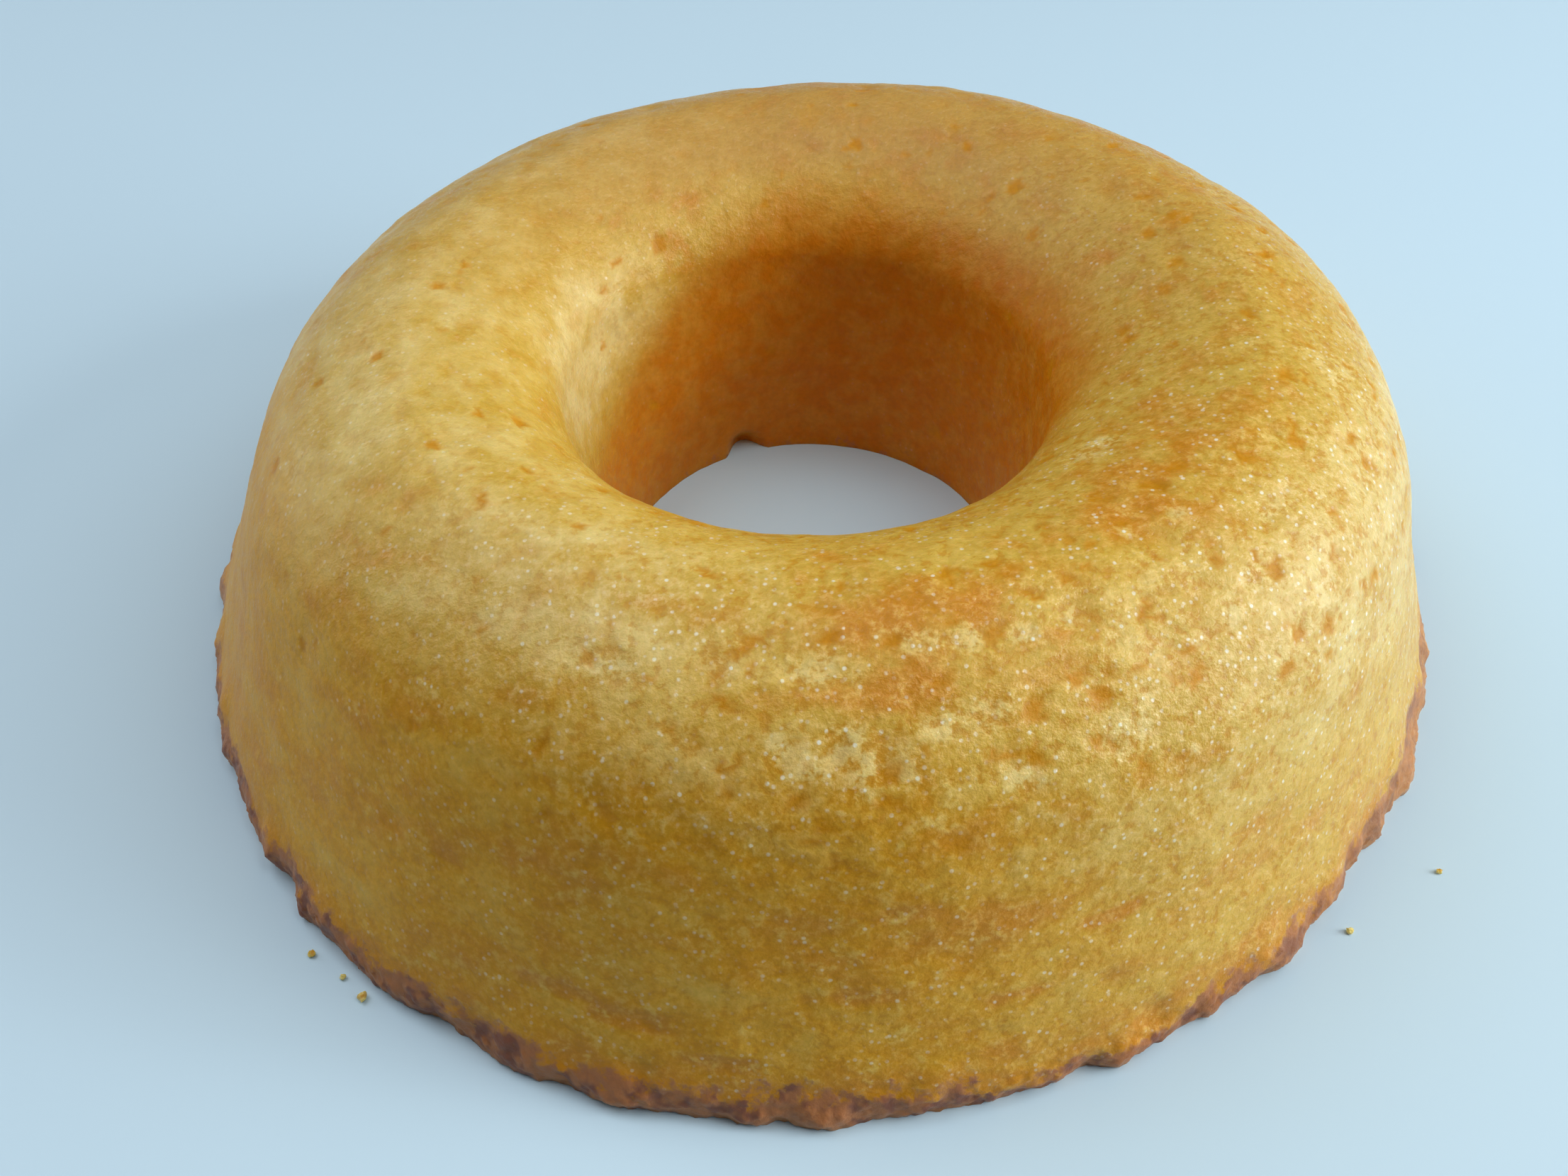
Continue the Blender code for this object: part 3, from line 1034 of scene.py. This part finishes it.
def grains_and_painted_glints(tree, where, fields, grain, fringe, colour):
    """Painted amber shade in the creases, then pale grains that are partly painted light,
    and painted glints, in clusters, except in the pits.
    """
    torn, pale, uneven = fields["torn"], fields["pale"], fields["open"]
    # Painted shade: amber in the creases between the raised grains
    crease_shade = weighted(tree, (fringe, 0.5, -1.0), (grain, 0.5, -0.6), (torn, 0.0, 0.06))
    crease_shade = product(tree, spread(tree, crease_shade, *CREASE_BLEND), uneven)
    colour = blend_colour(tree, crease_shade, colour, linear(AMBER_SHADE))
    # Where the surface counts as lit, from the fields: the pale grains and the painted glints
    # follow it
    lit = weighted(
        tree,
        (torn, 0.0, 0.7),
        (pale, 0.0, 0.4),
        (fields["wall"], 0.6, -0.3),
        (fields["far"], 0.0, -0.5),
        (fields["pit"], 0.0, -0.8),
    )
    # Pale grains: partly the crumb's own, partly painted light, more of them where lit
    lit_grains = weighted(tree, (grain, 0.5, 1.0), (fringe, 0.5, 0.7))
    lit_grains = spread(tree, lit_grains, *GRAIN_BLEND)
    lit_grains = product(tree, lit_grains, spread(tree, lit, *GRAIN_LIT), uneven)
    grain_colour = blend_colour(tree, pale, linear(GRAIN), linear(GRAIN_PALE))
    colour = blend_colour(tree, lit_grains, colour, grain_colour)
    # Painted glints: small white dots, more where the surface counts as lit, for highlights on the
    # moist crumb
    cells = node(tree, "ShaderNodeTexVoronoi", {"Vector": where, "Scale": 1.0 / PAINTED_GLINT_SPACING})
    chance = node(tree, "ShaderNodeSeparateColor", {0: cells.outputs["Color"]}).outputs[0]
    painted_glints = product(
        tree,
        spread(tree, cells.outputs["Distance"], *PAINTED_GLINT_EDGE),
        spread(tree, chance, *PAINTED_GLINT_CHANCE),
        spread(tree, lit, *PAINTED_GLINT_LIT),
        product(tree, spread(tree, fringe, *PAINTED_GLINT_CLUSTERS), uneven),
    )
    return blend_colour(tree, painted_glints, colour, linear(PAINTED_GLINT)), lit_grains, painted_glints


def browned_rim(tree, fields, grain, fringe, broken, lit_grains, colour):
    """The browned crust at the base, in two browns and paler on the right: partly paler crust,
    partly painted light.
    """
    brown = fields["brown"]
    spots = weighted(tree, (broken, 0.0, 1.0), (brown, 1.0, 0.15))
    rim_colour = blend_colour(tree, spread(tree, spots, *RIM_SPOTS), linear(RIM), linear(RIM_DARK))
    # Paler rim where the pale zones reach it: partly paler crust, partly painted light
    pale_and_lit_rim = product(tree, fields["pale"], spread(tree, lit_grains, *RIM_PALE_ON_GRAINS))
    rim_colour = blend_colour(tree, pale_and_lit_rim, rim_colour, linear(RIM_PALE))
    browned = weighted(tree, (brown, 0.0, 1.0), (fringe, 0.5, 1.5), (grain, 0.5, 0.9))
    browned = spread(tree, browned, *BROWNED_BLEND)
    browned = product(tree, browned, spread(tree, brown, *BROWNED_START))
    return blend_colour(tree, browned, colour, rim_colour)


def crumb_colour(tree, where, grain, fringe):
    """The cake's whole colour, painted shade and light included, and with it the painted glints and
    the dull places.
    """
    names = ("torn", "pit", "brown", "warm", "wall", "pale", "far", "hole", "open")
    fields = {name: field(tree, name) for name in names}
    pit, hole = fields["pit"], fields["hole"]
    broken = noise_of(tree, where, BROKEN_SIZE, 2.0, BROKEN_ROUGHNESS)
    colour = skin_and_crumb(tree, fields, grain, fringe, broken)
    colour, lit_grains, painted_glints = grains_and_painted_glints(tree, where, fields, grain, fringe, colour)
    # The far side: partly more baked skin, partly painted sheen
    far = product(tree, fields["far"], FAR_STRENGTH)
    colour = blend_colour(tree, far, colour, linear(FAR_SKIN_AND_SHEEN))
    # Down in the hole: partly darker skin, partly painted shade
    depths = product(tree, spread(tree, hole, *HOLE_BLEND), spread(tree, broken, *HOLE_BROKEN))
    deeper = blend_colour(tree, spread(tree, hole, *HOLE_DEEPER), linear(HOLE_TOP), linear(HOLE_SKIN_AND_SHADE))
    colour = blend_colour(tree, depths, colour, deeper)
    # Amber in the pits and hollows: partly the open crumb's own colour, partly painted shade
    colour = blend_colour(tree, product(tree, pit, PIT_STRENGTH), colour, linear(AMBER_SHADE))
    colour = browned_rim(tree, fields, grain, fringe, broken, lit_grains, colour)
    dull = most_of(tree, fields["wall"], hole)
    dull = most_of(tree, dull, most_of(tree, pit, fields["brown"]))
    return colour, painted_glints, dull


def cake_material():
    material, tree, shader = new_material("cake_crumb")
    where = node(tree, "ShaderNodeTexCoord").outputs["Object"]
    bent = shifted(tree, where, FRINGE_BEND_SIZE, FRINGE_BEND)
    grain = noise_of(tree, where, GRAIN_SIZE, 3.0, GRAIN_ROUGHNESS)
    fringe = noise_of(tree, bent, FRINGE_SIZE, 3.0, FRINGE_ROUGHNESS)
    colour, painted_glints, dull = crumb_colour(tree, where, grain, fringe)
    light = spread(tree, grain, *TINT_BLEND)
    tint = node(tree, "ShaderNodeVectorMath", {0: colour, 3: light}, operation="SCALE").outputs[0]
    tree.links.new(tint, shader.inputs["Base Color"])
    tree.links.new(spread(tree, grain, *ROUGHNESS_BLEND), shader.inputs["Roughness"])
    shader.inputs["Specular IOR Level"].default_value = 0.15
    shader.inputs["Subsurface Weight"].default_value = 0.5
    shader.inputs["Subsurface Radius"].default_value = (1.0, 0.62, 0.34)
    shader.inputs["Subsurface Scale"].default_value = LIGHT_DEPTH

    # Relief too fine for the mesh
    raised = weighted(tree, (fringe, 0.0, 1.2), (grain, 0.0, 0.8))
    fine_inputs = {"Strength": FINE_BUMP_STRENGTH, "Distance": FINE_BUMP, "Height": raised}
    fine = node(tree, "ShaderNodeBump", fine_inputs)
    tree.links.new(fine.outputs[0], shader.inputs["Normal"])

    # Moist spots that glint
    wet = weighted(tree, (grain, 0.0, 1.0), (painted_glints, 0.0, 0.5))
    wet = product(tree, spread(tree, wet, *WET_BLEND), spread(tree, dull, *WET_ON_DULL))
    tree.links.new(wet, shader.inputs["Coat Weight"])
    shader.inputs["Coat Roughness"].default_value = 0.22
    glint_inputs = {"Strength": 1.0, "Distance": GLINT_BUMP, "Height": grain}
    glint = node(tree, "ShaderNodeBump", glint_inputs)
    tree.links.new(glint.outputs[0], shader.inputs["Coat Normal"])
    return material


def floor_material():
    material, tree, shader = new_material("pale_floor")
    where = node(tree, "ShaderNodeTexCoord").outputs["Object"]
    faint = noise_of(tree, where, FLOOR_CLOUDS, 2.0)
    pale = linear(FLOOR)
    dimmer = (*(FLOOR_DIM * share for share in pale[:3]), 1.0)
    tree.links.new(blend_colour(tree, faint, pale, dimmer), shader.inputs["Base Color"])
    shader.inputs["Roughness"].default_value = 0.45
    shader.inputs["Specular IOR Level"].default_value = 0.3
    return material


# ---------------------------------------- pieces
def add_fields(mesh, fields):
    """Stores each field on the mesh's points, for the material."""
    for name, values in fields.items():
        layer = mesh.attributes.new(name, "FLOAT", "POINT")
        layer.data.foreach_set("value", values.astype(np.float32))


def make_cake(material):
    surface = Surface()
    faces, base_start = surface.faces()
    places = solid_form(surface)
    places, fields = fine_form(surface, places, faces)
    mesh = bpy.data.meshes.new("cake_surface")
    mesh.from_pydata(places.tolist(), [], faces.tolist())
    smooth = np.ones(len(faces), dtype=bool)
    smooth[base_start:] = False
    mesh.polygons.foreach_set("use_smooth", smooth)
    add_fields(mesh, fields)
    mark_base_edges(mesh, surface)
    mesh.update()
    cake = bpy.data.objects.new("cake_surface", mesh)
    bpy.context.scene.collection.objects.link(cake)
    mesh.materials.append(material)
    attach(cake, "root")
    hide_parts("cake")


def make_loose_crumbs(material):
    """The few crumbs that lie beside the cake, joined in one piece."""
    draw = random.Random(LOOSE_SEED)
    form = bmesh.new()
    for x, y, radius in LOOSE_CRUMBS:
        lump = bmesh.ops.create_icosphere(form, subdivisions=2, radius=radius * MM)["verts"]
        stray = Vector((draw.uniform(-40.0, 40.0), 0.0, 0.0))
        for vertex in lump:
            lumpy = noise.noise(vertex.co / (LOOSE_LUMP_SIZE * radius * MM) + stray)
            vertex.co *= 1.0 + LOOSE_LUMPINESS * lumpy
            vertex.co.z *= LOOSE_FLATNESS
        lowest = min(vertex.co.z for vertex in lump)
        for vertex in lump:
            vertex.co += Vector((x * MM, y * MM, -lowest))
    mesh = bpy.data.meshes.new("loose_crumbs")
    form.to_mesh(mesh)
    form.free()
    everywhere = np.ones(len(mesh.vertices))
    add_fields(mesh, {"torn": everywhere, "open": everywhere})
    crumbs = bpy.data.objects.new("loose_crumbs", mesh)
    bpy.context.scene.collection.objects.link(crumbs)
    mesh.materials.append(material)
    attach(crumbs, "root")


def mark_base_edges(mesh, surface):
    """Keeps the flat base's shading apart from the wall's."""
    ends = np.zeros(len(mesh.edges) * 2, dtype=np.int64)
    mesh.edges.foreach_get("vertices", ends)
    at_base = surface.height < BASE_LEVEL
    sharp = at_base[ends.reshape(-1, 2)].all(axis=1)
    layer = mesh.attributes.new("sharp_edge", "BOOLEAN", "EDGE")
    layer.data.foreach_set("value", sharp)


def make_floor():
    bpy.ops.mesh.primitive_plane_add(size=FLOOR_SIZE)
    floor = bpy.context.object
    floor.name = "floor"
    floor.data.materials.append(floor_material())


# ---------------------------------------- camera and light
CLIP_START = 0.01
CAMERA_PLACE = (0.0, -0.15757, 0.15763)
CAMERA_YAW = -0.0266
CAMERA_PITCH = 0.8074
CAMERA_ROLL = -0.0344
CAMERA_LENS = 30.96
SENSOR_WIDTH = 36.0

# Soft square lights: name, azimuth and elevation in degrees, size, power, colour
WINDOW_COLOUR = (0.97, 1.0, 0.99)
CORE_COLOUR = (0.98, 1.0, 0.99)
FAR_COLOUR = (0.94, 0.97, 1.0)
LIGHTS = (
    ("window", -8.0, 20.0, 0.5, 6.0, WINDOW_COLOUR),
    ("window_core", -2.0, 30.0, 0.12, 0.8, CORE_COLOUR),
    ("window_top", 0.0, 58.0, 0.7, 4.0, WINDOW_COLOUR),
    ("far_window", 150.0, 58.0, 0.7, 3.5, FAR_COLOUR),
    ("far_window_low", 162.0, 15.0, 0.5, 1.4, FAR_COLOUR),
)
LIGHT_DISTANCE = 1.0
ROOM_COLOUR = (0.93, 0.96, 1.0, 1.0)
ROOM_STRENGTH = 0.10


def make_camera():
    """The photo's camera: yaw from +Y towards +X, pitch down, roll about its own view."""
    view = Vector((
        math.sin(CAMERA_YAW) * math.cos(CAMERA_PITCH),
        math.cos(CAMERA_YAW) * math.cos(CAMERA_PITCH),
        -math.sin(CAMERA_PITCH),
    ))
    level = Vector((math.cos(CAMERA_YAW), -math.sin(CAMERA_YAW), 0.0))
    over = level.cross(view)
    right = math.cos(CAMERA_ROLL) * level + math.sin(CAMERA_ROLL) * over
    above = math.cos(CAMERA_ROLL) * over - math.sin(CAMERA_ROLL) * level
    turn = Matrix((right, above, -view)).transposed()
    lens = bpy.data.cameras.new("camera")
    lens.lens = CAMERA_LENS
    lens.sensor_width = SENSOR_WIDTH
    lens.clip_start = CLIP_START
    camera = bpy.data.objects.new("camera", lens)
    camera.matrix_world = Matrix.Translation(CAMERA_PLACE) @ turn.to_4x4()
    bpy.context.scene.collection.objects.link(camera)
    bpy.context.scene.camera = camera


def soft_light(name, azimuth, elevation, size, power, colour):
    """A square soft light that looks at the cake from an azimuth and elevation in degrees."""
    turn, rise = math.radians(azimuth), math.radians(elevation)
    away = Vector((
        math.cos(turn) * math.cos(rise),
        math.sin(turn) * math.cos(rise),
        math.sin(rise),
    ))
    lamp = bpy.data.lights.new(name, "AREA")
    lamp.size = size
    lamp.energy = power
    lamp.color = colour
    light = bpy.data.objects.new(name, lamp)
    light.location = away * LIGHT_DISTANCE
    light.rotation_euler = away.to_track_quat("Z", "Y").to_euler()
    bpy.context.scene.collection.objects.link(light)


def make_light():
    for light in LIGHTS:
        soft_light(*light)
    world = bpy.data.worlds.new("room")
    world.use_nodes = True
    sky = world.node_tree.nodes["Background"]
    sky.inputs["Color"].default_value = ROOM_COLOUR
    sky.inputs["Strength"].default_value = ROOM_STRENGTH
    bpy.context.scene.world = world


bpy.context.scene.view_settings.view_transform = "Standard"
make_camera()
make_floor()
make_light()
crumb = cake_material()
make_cake(crumb)
make_loose_crumbs(crumb)
